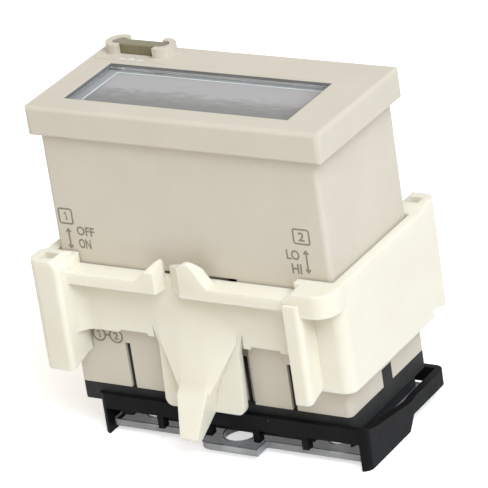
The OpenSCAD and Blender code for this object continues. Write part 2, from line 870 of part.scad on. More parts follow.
// Upright section of the posts: the top falls to the case, and the foot is longest at the front
module post_side() {
    polygon([
        [-post_out, foot_z], [-post_out, post_top], [-web_out - post_fall / 2, post_top],
        [-web_in, pad_z], [-web_in, foot_z + foot_rise], [-web_out, foot_z + foot_rise]
    ]);
}

module post() {
    difference() {
        intersection() {
            translate([0, 0, foot_z]) linear_extrude(post_top - foot_z) post_outline();
            pull_x(-end_out, -post_in) post_side();
            // The top falls towards the rail
            pull_y(-post_out, -web_in) polygon([
                [-end_out, foot_z], [-end_out, post_top], [-post_in - post_fall, post_top],
                [-post_in, pad_z - rail_step / 2], [-post_in, foot_z]
            ]);
        }
        // Pocket in the top, and a core from below
        span([-end_out + core_wall, -post_out + core_wall, post_top - post_pocket],
             [-post_in - core_wall, -web_in - pad_d, post_top + 1]);
        span([-end_out + core_wall, -post_out + core_wall, foot_z - 1],
             [-post_in - core_wall, -web_out, rail_z - rail_t]);
    }
}

module rib() {
    rib_foot = foot_z - rib_drop;
    intersection() {
        translate([0, 0, rib_foot]) linear_extrude(rail_z - rib_foot) rib_outline();
        pull_x(rib_x, rib_x + rib_w) polygon([
            [-rib_out, rib_foot], [-rib_out, rail_z], [-web_in, rail_z],
            [-web_in, rib_foot + foot_rise], [-web_out, rib_foot + foot_rise]
        ]);
    }
}

// Concave blend from the post to the web
module post_blend() {
    difference() {
        translate([-post_in - eps, -web_out - blend_r]) square([blend_r + eps, blend_r + eps]);
        translate([-post_in + blend_r, -web_out - blend_r]) circle(blend_r);
    }
}

// Rail along the web, with a wider rounded flange over the rib's corner
module rail_outline() {
    difference() {
        union() {
            translate([-post_in - eps, -rail_out])
                square([post_in + eps + rib_x + rib_w, rail_out - web_in]);
            flange_outline();
        }
        centre_groove();
    }
}

module flange_outline() {
    difference() {
        translate([rib_x, -flange_out]) square([end_out - rib_x, flange_out - web_in]);
        translate([end_out, -flange_out]) corner_cut(1, -1, flange_r);
    }
}

// Groove between the prongs: one wall nearly square to the rail, the other flared to the front
module centre_groove() {
    left = groove_x - groove_back_w / 2;
    right = groove_x + groove_back_w / 2;
    polygon([
        [left, -web_out], [right, -web_out],
        [right + groove_flare, -rail_out - eps], [left - groove_lean, -rail_out - eps]
    ]);
}

module pad_side() {
    polygon([
        [pad_x - pad_slope, rail_z - eps], [pad_x, pad_z], [end_out, pad_z], [end_out, rail_z - eps]
    ]);
}

// Raised pads behind the panel: a square end by the post, a sloping one over the rib's corner
module pads() {
    pull_y(-web_in - pad_d, -web_in) {
        translate([-end_in, rail_z - eps]) square([end_in - post_pad_x, rail_step + eps]);
        intersection() {
            pad_side();
            translate([0, rail_z - 1]) square([end_in, rail_step + 2]);
        }
    }
    intersection() {
        pull_y(-flange_out, -web_in) pad_side();
        translate([0, 0, rail_z - 1]) linear_extrude(rail_step + 2) flange_outline();
    }
}

// Low prong left of the groove: it rises towards the groove and falls to the front
module low_prong() {
    peak = prong_h * 0.8;
    tip = groove_x - groove_back_w / 2;
    intersection() {
        pull_y(-rail_out, -web_out + eps) polygon([
            [tip - 3.7, rail_z - eps], [tip - 0.8, rail_z + peak * 0.9], [tip - 0.2, rail_z + peak],
            [tip + 0.2, rail_z + peak * 0.9], [tip + 0.2, rail_z - eps]
        ]);
        pull_x(tip - 5, tip + 1) polygon([
            [-rail_out, rail_z - eps], [-rail_out, rail_z + peak * 0.5],
            [-web_out - 0.5, rail_z + peak], [-web_out + eps, rail_z + peak],
            [-web_out + eps, rail_z - eps]
        ]);
    }
}

// Tall prong right of the groove: a round-topped block that falls to the back
module tall_prong() {
    foot = groove_x + groove_back_w / 2;
    front = foot + groove_flare;
    intersection() {
        pull_y(-rail_out, -web_out + eps) polygon([
            [foot, rail_z - eps], [foot, rail_z + prong_h * 0.55], [front, rail_z + prong_h * 0.8],
            [front + 0.6, rail_z + prong_h * 0.93], [front + 1.1, rail_z + prong_h],
            [front + 1.7, rail_z + prong_h], [front + 2.3, rail_z + prong_h * 0.87],
            [front + 3.4, rail_z + prong_h * 0.4], [front + 4.5, rail_z - eps]
        ]);
        pull_x(foot - 1, front + 6) polygon([
            [-rail_out, rail_z - eps], [-rail_out, rail_z + prong_h], [-rail_out + 0.9, rail_z + prong_h],
            [-web_out + eps, rail_z + prong_h * 0.58], [-web_out + eps, rail_z - eps]
        ]);
    }
}

module prongs() {
    difference() {
        union() {
            low_prong();
            tall_prong();
        }
        translate([0, 0, rail_z - 1]) linear_extrude(prong_h + 2) centre_groove();
    }
}

module web() {
    difference() {
        span([-post_in - eps, -web_out, web_bottom], [rib_x + eps, -web_in, rail_z]);
        // Slot round the root of the spring leg
        span([-leg_w / 2 - leg_slot, -web_out - 1, web_bottom - 1],
             [leg_w / 2 + leg_slot, -web_in + 1, leg_slot_top]);
        for (s = [-1, 1])
            span([s > 0 ? web_step_x0 : -web_step_x1, -web_out - 1, web_bottom - 1],
                 [s > 0 ? web_step_x1 : -web_step_x0, -web_in + 1, web_bottom + web_step]);
    }
}

// Thin plate of the spring leg: it leaves the web in line with it and leans outward
module leg_plate() {
    root_w = leg_w + 2 * leg_slot;
    intersection() {
        pull_y(-leg_out - 1, -web_in) difference() {
            polygon([
                [-root_w / 2, leg_root], [-root_w / 2, leg_slot_top],
                [-leg_w / 2, leg_slot_top - leg_taper], [-leg_w / 2, leg_bottom],
                [leg_w / 2, leg_bottom], [leg_w / 2, leg_slot_top - leg_taper],
                [root_w / 2, leg_slot_top], [root_w / 2, leg_root]
            ]);
            for (s = [-1, 1]) translate([s * leg_w / 2, leg_bottom]) corner_cut(s, -1, leg_r);
        }
        pull_x(-root_w, root_w) polygon([
            [-web_out + leg_t, leg_root], [-web_out, leg_root],
            [-leg_out, leg_bottom], [-leg_in, leg_bottom]
        ]);
    }
}

// Roof-shaped spine that comes out of the web and stiffens the leg down to its tab
module leg_spine() {
    spine_bottom = tab_top - tab_shoulder;
    rise = spine_out - web_out;
    lean = atan2(rise, spine_top - spine_bottom);
    length = (spine_top - spine_bottom) / cos(lean) + 2;
    eave = leg_w / 2 + 1;
    intersection() {
        pull_y(-spine_out - 2, -web_out + 0.1) polygon([
            [-leg_w / 2, spine_top], [-leg_w / 2, leg_slot_top - 1],
            [-spine_bottom_w / 2, spine_bottom], [spine_bottom_w / 2, spine_bottom],
            [leg_w / 2, leg_slot_top - 1], [leg_w / 2, spine_top]
        ]);
        translate([0, -web_out, spine_top]) rotate([-lean, 0, 0]) translate([0, 0, -length])
            linear_extrude(length + 1) polygon([
                [-eave, rise + 1], [-eave, spine_fall], [-spine_ridge_w / 2, 0],
                [spine_ridge_w / 2, 0], [eave, spine_fall], [eave, rise + 1]
            ]);
    }
}

// Thumb tab that leans outward from the foot of the spine
module leg_tab() {
    shoulder_z = tab_top - tab_shoulder;
    intersection() {
        pull_x(-leg_w / 2, leg_w / 2) polygon([
            [-leg_out + 0.6, tab_top + 0.4], [-spine_out + 0.4, tab_top + 0.4],
            [-spine_out - 0.9, shoulder_z], [-tab_out, tab_bottom + 0.7],
            [-tab_out + 0.5, tab_bottom], [-tab_out + 1.5, tab_bottom],
            [-leg_out + 0.6, tab_top - tab_root]
        ]);
        pull_y(-tab_out - 1, 0) polygon([
            [-spine_bottom_w / 2 + 0.3, tab_top + 1], [spine_bottom_w / 2 - 0.3, tab_top + 1],
            [tab_w / 2, shoulder_z], [tab_tip_w / 2, tab_bottom - 1],
            [-tab_tip_w / 2, tab_bottom - 1], [-tab_w / 2, shoulder_z]
        ]);
    }
}

// Pawl on the inner face of the leg, just clear of the ratchet
module leg_pawl() {
    tip = body_h / 2 + pawl_gap;
    pull_x(-pawl_w / 2, pawl_w / 2) polygon([
        [-web_out + eps, pawl_z], [-tip, pawl_z - pawl_h * 0.8], [-tip, pawl_z - pawl_h],
        [-web_out + eps, pawl_z - pawl_h]
    ]);
}

module bracket_half() {
    translate([0, 0, foot_z]) linear_extrude(bracket_h) corner_outline();
    rib();
    post();
    translate([0, 0, web_bottom]) linear_extrude(rail_z - web_bottom) post_blend();
    translate([0, 0, rail_z - rail_t]) linear_extrude(rail_t) rail_outline();
    pads();
    prongs();
    web();
    leg_plate();
    leg_spine();
    leg_tab();
    leg_pawl();
}

module mounting_bracket() {
    color([0.95, 0.93, 0.82]) both_sides() bracket_half();
}

case();
display_window();
lcd_cell();
lcd_reflector();
lcd_holder();
connector_strips();
display_board();
controller_chip();
crystal();
capacitors();
reset_key();
key_contact();
battery();
battery_tabs();
battery_cradle();
link_pins();
terminal_board();
selector_bodies();
selector_knob_1();
selector_knob_2();
terminal_block();
terminal_straps();
terminal_washers();
terminal_screws();
terminal_guard();
terminal_cover();
mounting_bracket();
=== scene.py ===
"""Looks of a small panel counter: moulded beige case, ivory ratchet bracket, smoky rear cover whose grey
tint also paints the shade under the counter seen through it.
"""
import json
import math

import bmesh
import bpy
from mathutils import Matrix, Vector


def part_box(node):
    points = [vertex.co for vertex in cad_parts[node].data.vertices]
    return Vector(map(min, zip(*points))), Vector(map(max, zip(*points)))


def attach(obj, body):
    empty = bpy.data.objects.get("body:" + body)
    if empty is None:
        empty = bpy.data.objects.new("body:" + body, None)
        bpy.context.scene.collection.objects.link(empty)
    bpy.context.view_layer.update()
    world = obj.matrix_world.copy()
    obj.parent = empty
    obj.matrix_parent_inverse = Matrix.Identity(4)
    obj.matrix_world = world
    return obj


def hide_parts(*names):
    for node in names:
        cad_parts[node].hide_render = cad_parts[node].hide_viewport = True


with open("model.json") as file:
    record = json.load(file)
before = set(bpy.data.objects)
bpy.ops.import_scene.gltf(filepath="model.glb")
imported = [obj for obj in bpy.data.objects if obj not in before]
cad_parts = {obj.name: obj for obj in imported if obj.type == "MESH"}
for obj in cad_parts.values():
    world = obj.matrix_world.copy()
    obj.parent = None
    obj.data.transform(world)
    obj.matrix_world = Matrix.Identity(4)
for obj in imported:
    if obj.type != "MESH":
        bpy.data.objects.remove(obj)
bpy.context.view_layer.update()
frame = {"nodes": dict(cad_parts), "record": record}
scene = bpy.context.scene
scene.view_settings.view_transform = "Standard"

MM = 0.001
BODY = {node: body for body, nodes in frame["record"]["behaviour"]["bodies"].items() for node in nodes}
SLOT = {part["node"]: part["material_slot"] for part in frame["record"]["subparts"]}


# Colours and shader nodes

def srgb(red, green, blue):
    """A colour given as it looks on a screen, 0 to 255, as linear values."""
    def linear(value):
        value /= 255
        return value / 12.92 if value <= 0.04045 else ((value + 0.055) / 1.055) ** 2.4
    return (linear(red), linear(green), linear(blue), 1)


BLACK = srgb(0, 0, 0)
WHITE = srgb(255, 255, 255)


def set_socket(tree, socket, value):
    """Links a socket to the value where that is a socket too, and else sets it."""
    if isinstance(value, bpy.types.NodeSocket):
        tree.links.new(value, socket)
    else:
        socket.default_value = value


def add_node(tree, kind, inputs):
    """A new shader node with its inputs, by name or number, linked or set."""
    node = tree.nodes.new("ShaderNode" + kind)
    for name, value in inputs.items():
        set_socket(tree, node.inputs[name], value)
    return node


def maths(tree, operation, *sources):
    """The result of a Math node for one or two sources."""
    node = add_node(tree, "Math", dict(enumerate(sources)))
    node.operation = operation
    return node.outputs[0]


def mix_shaders(tree, factor, first, second):
    """The first shader where the factor is 0 and the second where it is 1."""
    return add_node(tree, "MixShader", {0: factor, 1: first, 2: second}).outputs[0]


class Shader:
    """A node material with a Principled shader, textured by the place on the object in metres."""

    def __init__(self, name):
        self.material = bpy.data.materials.new(name)
        self.material.use_nodes = True
        self.tree = self.material.node_tree
        self.shader = self.tree.nodes["Principled BSDF"]
        coordinates = self.add("TexCoord", {})
        self.place = coordinates.outputs["Object"]
        self.facing = coordinates.outputs["Normal"]

    def add(self, kind, inputs):
        return add_node(self.tree, kind, inputs)

    def set(self, **values):
        """Sets or links inputs of the shader. An underscore stands for a space in a name."""
        for key, value in values.items():
            set_socket(self.tree, self.shader.inputs[key.replace("_", " ")], value)

    def noise(self, scale, detail=2, roughness=0.5):
        """Noise with so many features to a metre, or so many along each of X, Y and Z."""
        place = self.place
        if isinstance(scale, tuple):
            place = self.add("Mapping", {"Vector": place, "Scale": scale}).outputs["Vector"]
            scale = 1
        inputs = {"Vector": place, "Scale": scale, "Detail": detail, "Roughness": roughness}
        return self.add("TexNoise", inputs).outputs["Fac"]

    def ramp(self, source, *stops):
        node = self.add("ValToRGB", {"Fac": source})
        elements = node.color_ramp.elements
        while len(elements) < len(stops):
            elements.new(0.5)
        for element, (position, colour) in zip(elements, stops):
            element.position = position
            element.color = colour
        return node.outputs["Color"]

    def mix(self, factor, first, second):
        """The first colour where the factor is 0 and the second where it is 1."""
        node = self.add("Mix", {})
        node.data_type = "RGBA"
        sockets = {socket.identifier: socket for socket in node.inputs}
        set_socket(self.tree, sockets["Factor_Float"], factor)
        set_socket(self.tree, sockets["A_Color"], first)
        set_socket(self.tree, sockets["B_Color"], second)
        return next(socket for socket in node.outputs if socket.identifier == "Result_Color")

    def scaled(self, source, low, high, start=0.0, end=1.0):
        """Low where the source is at its start, high where it is at its end, and even between."""
        inputs = {"Value": source, "From Min": start, "From Max": end, "To Min": low, "To Max": high}
        return self.add("MapRange", inputs).outputs["Result"]

    def along(self, vector, axis):
        """One coordinate of a vector."""
        return self.add("SeparateXYZ", {"Vector": vector}).outputs[axis]

    def flatness(self):
        """1 on level faces and 0 on upright ones."""
        return maths(self.tree, "ABSOLUTE", self.along(self.facing, "Z"))

    def bump(self, source, depth, strength):
        """Bump of that depth in metres, laid over any bump that is there."""
        node = self.add("Bump", {"Height": source, "Distance": depth, "Strength": strength})
        normal = self.shader.inputs["Normal"]
        if normal.is_linked:
            self.tree.links.new(normal.links[0].from_socket, node.inputs["Normal"])
        self.tree.links.new(node.outputs["Normal"], normal)


# Materials

def moulded(name, light, dark, rough=(0.42, 0.56)):
    """Moulded plastic: slow clouds of colour, fine spark-eroded grain and a little flow waviness."""
    look = Shader(name)
    clouds = look.noise(160, 4, 0.55)
    flow = look.noise(45, 1)
    fine = look.noise(5200, 3, 0.6)
    tone = look.ramp(clouds, (0.3, dark), (0.7, light))
    look.set(Base_Color=look.mix(look.scaled(fine, 0, 0.12), tone, dark))
    look.set(Roughness=look.scaled(look.noise(900, 3), *rough), Specular_IOR_Level=0.45)
    look.bump(flow, 0.04 * MM, 0.3)
    look.bump(fine, 0.01 * MM, 0.6)
    return look


def case_material():
    """Beige moulding that lets a little light in."""
    look = moulded("case_plastic", srgb(211, 203, 188), srgb(207, 198, 183))
    look.set(Subsurface_Weight=0.08, Subsurface_Radius=(0.0012, 0.0008, 0.0005), Subsurface_Scale=0.5)
    return look.material


def bracket_material():
    """Waxy ivory plastic that lets light into its depth, with streaks along its height."""
    look = Shader("bracket_plastic")
    clouds = look.noise(110, 3)
    flow = look.noise((60, 60, 220))
    fine = look.noise(3600)
    tone = look.ramp(clouds, (0.25, srgb(231, 225, 208)), (0.75, srgb(237, 232, 217)))
    look.set(Base_Color=look.mix(look.scaled(flow, 0, 0.25), tone, srgb(235, 228, 207)))
    look.set(Roughness=look.scaled(look.noise(700, 3), 0.36, 0.5), Specular_IOR_Level=0.4)
    look.set(Subsurface_Weight=0.65, Subsurface_Radius=(1.0, 1.0, 0.95), Subsurface_Scale=1.5 * MM)
    look.bump(flow, 0.05 * MM, 0.35)
    look.bump(fine, 0.006 * MM, 0.5)
    return look.material


def black_material(name, light, dark):
    """Satin black moulding with a few pale specks of dust and wear."""
    look = Shader(name)
    clouds = look.noise(220, 4, 0.6)
    fine = look.noise(4600, 3, 0.6)
    specks = look.noise(2400, 2, 0.7)
    tone = look.ramp(clouds, (0.3, dark), (0.72, light))
    dust = look.ramp(specks, (0.74, BLACK), (0.8, WHITE))
    look.set(Base_Color=look.mix(dust, tone, srgb(128, 126, 122)))
    look.set(Roughness=look.scaled(look.noise(800, 3), 0.4, 0.55), Specular_IOR_Level=0.06)
    look.bump(fine, 0.01 * MM, 0.6)
    return look.material


def clear_material(name, light, dark, passed, frost=None):
    """Clear moulded plastic with faint flow lines and small scratches. Lamps shine through it in the
    colour that is passed. With a colour for frost, its upright edges are frosted."""
    look = Shader(name)
    flow = look.noise((30, 120, 120))
    scuffs = look.noise((2600, 300, 600), 3)
    tone = look.ramp(flow, (0.3, dark), (0.7, light))
    look.set(Roughness=look.scaled(scuffs, 0.01, 0.07), IOR=1.49, Transmission_Weight=1.0)
    look.bump(flow, 0.04 * MM, 0.25)
    if frost:
        flat = look.flatness()
        tone = look.mix(flat, frost, tone)
        look.set(Transmission_Weight=look.scaled(flat, 0.45, 1.0))
    look.set(Base_Color=tone)
    in_shadow = look.add("LightPath", {}).outputs["Is Shadow Ray"]
    open_way = look.add("BsdfTransparent", {"Color": passed}).outputs[0]
    surface = mix_shaders(look.tree, in_shadow, look.shader.outputs[0], open_way)
    look.tree.links.new(surface, look.tree.nodes["Material Output"].inputs["Surface"])
    return look.material


def glass_material():
    """Display cell: pale grey polariser, with painted shade as a darker, mottled field along the front,
    where the window's front wall shades it.
    """
    look = Shader("display_glass")
    low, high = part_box("lcd_cell")
    across = look.scaled(look.along(look.place, "Y"), 0, 1, low.y, high.y)
    shade_border_mottling = look.scaled(look.noise((620, 1700, 300), 5), -0.26, 0.26)
    # Painted shade: the ramp darkens the display towards its front edge, with a mottled border.
    tone = look.ramp(
        maths(look.tree, "ADD", across, shade_border_mottling),
        (0.28, srgb(97, 95, 87)), (0.45, srgb(117, 114, 107)), (0.6, srgb(151, 144, 139)))
    look.set(Base_Color=look.mix(look.scaled(look.noise(900, 3), 0, 0.2), tone, srgb(133, 128, 122)))
    look.set(Roughness=look.scaled(look.noise(1500), 0.16, 0.26))
    look.bump(look.noise(6000), 0.002 * MM, 0.4)
    return look.material


def metal_material(name, light, dark, rough=(0.22, 0.4)):
    """Plated metal with fine drawn lines."""
    look = Shader(name)
    lines = look.noise((300, 5200, 300), 3)
    look.set(Base_Color=look.ramp(look.noise(500, 3), (0.3, dark), (0.7, light)))
    look.set(Roughness=look.scaled(lines, *rough), Metallic=1.0)
    look.bump(lines, 0.003 * MM, 0.5)
    return look.material


def board_material():
    """Circuit board: green resist over a faint weave of glass cloth, with lighter copper runs."""
    look = Shader("board")
    weave = look.add("TexWave", {"Vector": look.place, "Scale": 700, "Distortion": 1.5}).outputs["Fac"]
    runs = look.add("TexBrick", {
        "Vector": look.place, "Scale": 260, "Mortar Size": 0.05,
        "Color1": srgb(22, 84, 52), "Color2": srgb(26, 92, 58), "Mortar": srgb(60, 128, 84),
    }).outputs["Color"]
    look.set(Base_Color=look.mix(look.scaled(weave, 0, 0.25), runs, srgb(14, 60, 38)))
    look.set(Roughness=look.scaled(look.noise(900), 0.3, 0.45))
    look.bump(weave, 0.008 * MM, 0.4)
    return look.material


def ink_material():
    """Grey-brown pad print with slightly uneven density."""
    look = Shader("legend_ink")
    patches = look.noise(3000, 3, 0.6)
    look.set(Base_Color=look.ramp(patches, (0.3, srgb(128, 121, 109)), (0.7, srgb(142, 134, 121))))
    look.set(Roughness=look.scaled(patches, 0.5, 0.65))
    look.bump(patches, 0.004 * MM, 0.4)
    return look.material


MATERIALS = {
    "case_plastic": case_material(),
    "bracket_plastic": bracket_material(),
    "black_plastic": black_material("black_plastic", srgb(60, 60, 60), srgb(48, 48, 48)),
    "clear_plastic": clear_material(
        "clear_plastic", srgb(249, 250, 250), srgb(240, 242, 243), passed=srgb(244, 245, 245)),
    # The cover's smoky grey tint is partly painted shade: it darkens the panes as the shaded floor under
    # the counter would. Its upright edges are frosted.
    "smoke_plastic": clear_material(
        "smoke_plastic", srgb(138, 139, 140), srgb(124, 125, 126), passed=srgb(140, 140, 140),
        frost=srgb(186, 187, 187)),
    "display_glass": glass_material(),
    "reflector": metal_material("reflector", srgb(222, 222, 222), srgb(204, 204, 206), (0.3, 0.5)),
    "elastomer": moulded("elastomer", srgb(160, 96, 88), srgb(140, 82, 76), (0.6, 0.75)).material,
    "board": board_material(),
    "resin": moulded("resin", srgb(26, 26, 27), srgb(16, 16, 17), (0.18, 0.32)).material,
    "chip_body": moulded("chip_body", srgb(176, 148, 118), srgb(156, 128, 100), (0.5, 0.65)).material,
    "steel": metal_material("steel", srgb(208, 207, 205), srgb(182, 181, 180)),
    "battery_can": moulded("battery_can", srgb(120, 140, 158), srgb(104, 122, 140), (0.25, 0.38)).material,
    "brass": metal_material("brass", srgb(222, 196, 130), srgb(196, 168, 102)),
    "key_plastic": moulded("key_plastic", srgb(132, 124, 96), srgb(118, 111, 85), (0.22, 0.34)).material,
    "knob_plastic": moulded("knob_plastic", srgb(236, 234, 226), srgb(224, 221, 212)).material,
}
OWN_LOOK = {"terminal_guard": black_material("guard_black", srgb(25, 25, 26), srgb(15, 15, 16))}
INK = ink_material()
# Grey for the window seal, which also paints shade on the recess wall, in the gap and round the display.
SEAL_AND_SHADE_GREY = moulded("window_seal_and_shade", srgb(132, 132, 130), srgb(116, 116, 114), (0.5, 0.65)).material


# Objects

def add_object(name, data):
    item = bpy.data.objects.new(name, data)
    scene.collection.objects.link(item)
    return item


def paint(item, material):
    item.data.materials.clear()
    item.data.materials.append(material)


def add_piece(name, mesh, material, body):
    """A new piece of the object, which moves with a body."""
    item = add_object(name, mesh)
    paint(item, material)
    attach(item, body)
    return item


# Nodes of the model, with moulded edges

JOIN = 0.002 * MM
SLIVER = 0.001 * MM
NEAR = 0.01 * MM
BOND_DEPTH = 0.02 * MM
FLAT_ANGLE = math.radians(0.6)
SHADE_ANGLE = math.radians(50)
BEVEL_ANGLE = math.radians(32)
EDGES = {
    "case": 0.18, "mounting_bracket": 0.22, "terminal_block": 0.15, "terminal_guard": 0.18,
    "terminal_cover": 0.2, "display_window": 0.12, "reset_key": 0.2, "selector_knob_1": 0.12,
    "selector_knob_2": 0.12, "selector_bodies": 0.12, "terminal_screws": 0.15, "terminal_washers": 0.1,
    "terminal_straps": 0.1, "lcd_holder": 0.1,
}  # the width of the rounding in mm


def clean_copy(node):
    """A copy of a node's mesh with its doubled points joined and its flat faces whole."""
    mesh = frame["nodes"][node].data.copy()
    mesh.name = node + "_dressed"
    work = bmesh.new()
    work.from_mesh(mesh)
    bmesh.ops.remove_doubles(work, verts=work.verts, dist=JOIN)
    bmesh.ops.dissolve_degenerate(work, edges=work.edges, dist=SLIVER)
    bmesh.ops.dissolve_limit(work, angle_limit=FLAT_ANGLE, verts=work.verts, edges=work.edges)
    for face in work.faces:
        face.smooth = True
    work.to_mesh(mesh)
    work.free()
    mesh.set_sharp_from_angle(angle=SHADE_ANGLE)
    return mesh


def round_edges(item, width):
    """Rounds the sharp edges of a moulding and keeps its flats flat."""
    bevel = item.modifiers.new("edges", "BEVEL")
    bevel.width = width * MM
    bevel.segments = 2
    bevel.limit_method = "ANGLE"
    bevel.angle_limit = BEVEL_ANGLE
    bevel.use_clamp_overlap = True
    bevel.miter_outer = "MITER_ARC"
    normals = item.modifiers.new("normals", "WEIGHTED_NORMAL")
    normals.keep_sharp = True
    normals.weight = 80


def look_of(node):
    return OWN_LOOK.get(node, MATERIALS[SLOT[node]])


def dress_nodes():
    """Paints the nodes. Those with an edge width are replaced by a copy with moulded edges."""
    for node, item in frame["nodes"].items():
        if node in EDGES:
            dressed = add_piece(node + "_dressed", clean_copy(node), look_of(node), BODY[node])
            round_edges(dressed, EDGES[node])
            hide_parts(node)
        else:
            paint(item, look_of(node))


def bond_window():
    """Bonds the window to the display glass, with no film of air between them."""
    mesh = bpy.data.objects["display_window_dressed"].data
    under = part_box("display_window")[0].z
    for vertex in mesh.vertices:
        if vertex.co.z < under + NEAR:
            vertex.co.z = under - BOND_DEPTH


dress_nodes()
bond_window()


# Prints on the front wall

WALL_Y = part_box("terminal_block")[0].y
INK_RISE = 0.012  # mm
STROKE = 0.28  # mm
BOLDNESS = 0.028  # of a letter's size


def add_trim(name, curve, material):
    """Turns a curve into a mesh piece that rides on the counter."""
    maker = add_object(name + "_maker", curve)
    mesh = bpy.data.meshes.new_from_object(maker.evaluated_get(bpy.context.evaluated_depsgraph_get()))
    bpy.data.objects.remove(maker)
    mesh.name = name
    return add_piece(name, mesh, material, "counter")


def add_line(curve, points, closed):
    """A straight-sided line through points in mm."""
    spline = curve.splines.new("POLY")
    spline.points.add(len(points) - 1)
    for point, (x, y) in zip(spline.points, points):
        point.co = (x * MM, y * MM, 0, 1)
    spline.use_cyclic_u = closed


def on_wall(x, z):
    """Puts a flat piece, drawn upright in X and Y, on the front wall at x and z in mm."""
    return Matrix.Translation((x * MM, WALL_Y, z * MM)) @ Matrix.Rotation(math.radians(90), 4, "X")


def print_word(name, word, left, right, top, bottom):
    """A word printed on the front wall, set to fill a box given in mm."""
    curve = bpy.data.curves.new(name, "FONT")
    curve.body = word
    curve.fill_mode = "BOTH"
    curve.resolution_u = 4
    curve.offset = BOLDNESS
    curve.extrude = INK_RISE * MM
    item = add_trim(name, curve, INK)
    xs = [vertex.co.x for vertex in item.data.vertices]
    ys = [vertex.co.y for vertex in item.data.vertices]
    wide = (right - left) * MM / (max(xs) - min(xs))
    high = (top - bottom) * MM / (max(ys) - min(ys))
    fit = Matrix.Diagonal((wide, high, 1, 1)) @ Matrix.Translation((-min(xs), -min(ys), 0))
    item.data.transform(on_wall(left, bottom) @ fit)


def print_strokes(name, lines):
    """Printed strokes on the front wall. Each line is its points in mm and whether it is closed."""
    curve = bpy.data.curves.new(name, "CURVE")
    curve.dimensions = "3D"
    curve.bevel_depth = STROKE / 2 * MM
    curve.bevel_resolution = 2
    curve.use_fill_caps = True
    for points, closed in lines:
        add_line(curve, points, closed)
    item = add_trim(name, curve, INK)
    item.data.transform(on_wall(0, 0) @ Matrix.Diagonal((1, 1, 2 * INK_RISE / STROKE, 1)))


def round_box(left, right, top, bottom, radius, steps=5):
    """Points of a rectangle with round corners."""
    points = []
    corners = ((right, top, 0), (left, top, 90), (left, bottom, 180), (right, bottom, 270))
    for x, y, start in corners:
        centre_x = x + (radius if x == left else -radius)
        centre_y = y + (radius if y == bottom else -radius)
        for step in range(steps + 1):
            angle = math.radians(start + 90 * step / steps)
            points.append((centre_x + radius * math.cos(angle), centre_y + radius * math.sin(angle)))
    return points


def circle(x, z, radius=1.05, steps=24):
    turn = 2 * math.pi / steps
    return [(x + radius * math.cos(i * turn), z + radius * math.sin(i * turn)) for i in range(steps)]


def arrow(x, top, bottom, head=0.55):
    """A double-ended upright arrow."""
    lines = [([(x, top), (x, bottom)], False)]
    for tip, inward in ((top, -head), (bottom, head)):
        lines.append(([(x - head * 0.7, tip + inward), (x, tip), (x + head * 0.7, tip + inward)], False))
    return lines


def figure_one(x, top, bottom, flag=0.35):
    return [([(x - flag, top - flag), (x, top), (x, bottom)], False)]


def print_legends():
    """Two boxed selector numbers with their arrows, and two circled terminal numbers."""
    print_strokes("legend_1_marks", [
        (round_box(-21.5, -19.3, -11.6, -13.9, 0.3), True),
        *figure_one(-20.3, -12.1, -13.4),
        *arrow(-20.3, -14.7, -17.8),
    ])
    print_word("legend_1_off", "OFF", -18.9, -15.9, -14.15, -15.6)
    print_word("legend_1_on", "ON", -18.85, -16.8, -16.1, -17.65)
    print_strokes("legend_2_marks", [
        (round_box(17.25, 19.75, -10.6, -12.8, 0.3), True),
        *arrow(18.9, -13.8, -17.2),
    ])
    print_word("legend_2_number", "2", 18.0, 19.0, -11.0, -12.4)
    print_word("legend_2_low", "LO", 15.7, 17.8, -13.85, -15.4)
    print_word("legend_2_high", "HI", 16.3, 17.9, -15.95, -17.5)
    print_strokes("legend_3_marks", [
        (circle(-18.1, -31.3), True),
        ([(-16.9, -31.3), (-16.4, -31.3)], False),
        (circle(-15.2, -31.3), True),
        *figure_one(-18.0, -30.7, -31.9),
    ])
    print_word("legend_3_second", "2", -15.6, -14.8, -30.7, -31.9)


print_legends()


# Plates on the front face

FACE_Z = 4.6 * MM  # the bezel's front
EASED = 0.02  # this and those below in mm
FIELD = (-22.8, -10.1, 10.9, 5.4, 0.4)  # left, right, top, bottom and the corners' radius
FIELD_THICK = 0.1
MARK_THICK = 0.12
MARK_LOW = 5.65
MARK_HIGH = 6.5
BAR_HIGH = 6.0
BAR_LONG = 1.1


def flat_plate(name, outline, others, thickness, slot):
    """A thin plate on the front face, a quarter of it sunk, drawn in X and Y in mm, with its edges eased.
    The other outlines are holes where they lie inside the first, or plates beside it."""
    curve = bpy.data.curves.new(name, "CURVE")
    curve.dimensions = "2D"
    curve.fill_mode = "BOTH"
    curve.extrude = thickness / 2 * MM
    curve.bevel_depth = EASED * MM
    curve.offset = -EASED * MM
    for points in [outline] + others:
        add_line(curve, points, True)
    item = add_trim(name, curve, MATERIALS[slot])
    item.data.transform(Matrix.Translation((0, 0, FACE_Z + thickness / 4 * MM)))


def raise_label_field():
    """Slightly raised field round the key, with a plain printed arrow mark in front of the key."""
    low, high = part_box("reset_key")
    middle = (low + high) / 2 / MM
    half = (high - low) / 2 / MM
    hole = round_box(
        middle.x - half.x, middle.x + half.x, middle.y + half.y, middle.y - half.y, half.y * 0.95)
    flat_plate("key_field", round_box(*FIELD), [hole], FIELD_THICK, "case_plastic")
    arrow_head = [(middle.x - 0.8, MARK_LOW), (middle.x + 0.8, MARK_LOW), (middle.x, MARK_HIGH)]
    bars = []
    for left in (middle.x - 2.1, middle.x + 1.0):
        right = left + BAR_LONG
        bars.append([(left, MARK_LOW), (right, MARK_LOW), (right, BAR_HIGH), (left, BAR_HIGH)])
    flat_plate("key_mark", arrow_head, bars, MARK_THICK, "knob_plastic")


raise_label_field()


# Trim round the window, with painted shade and a painted highlight

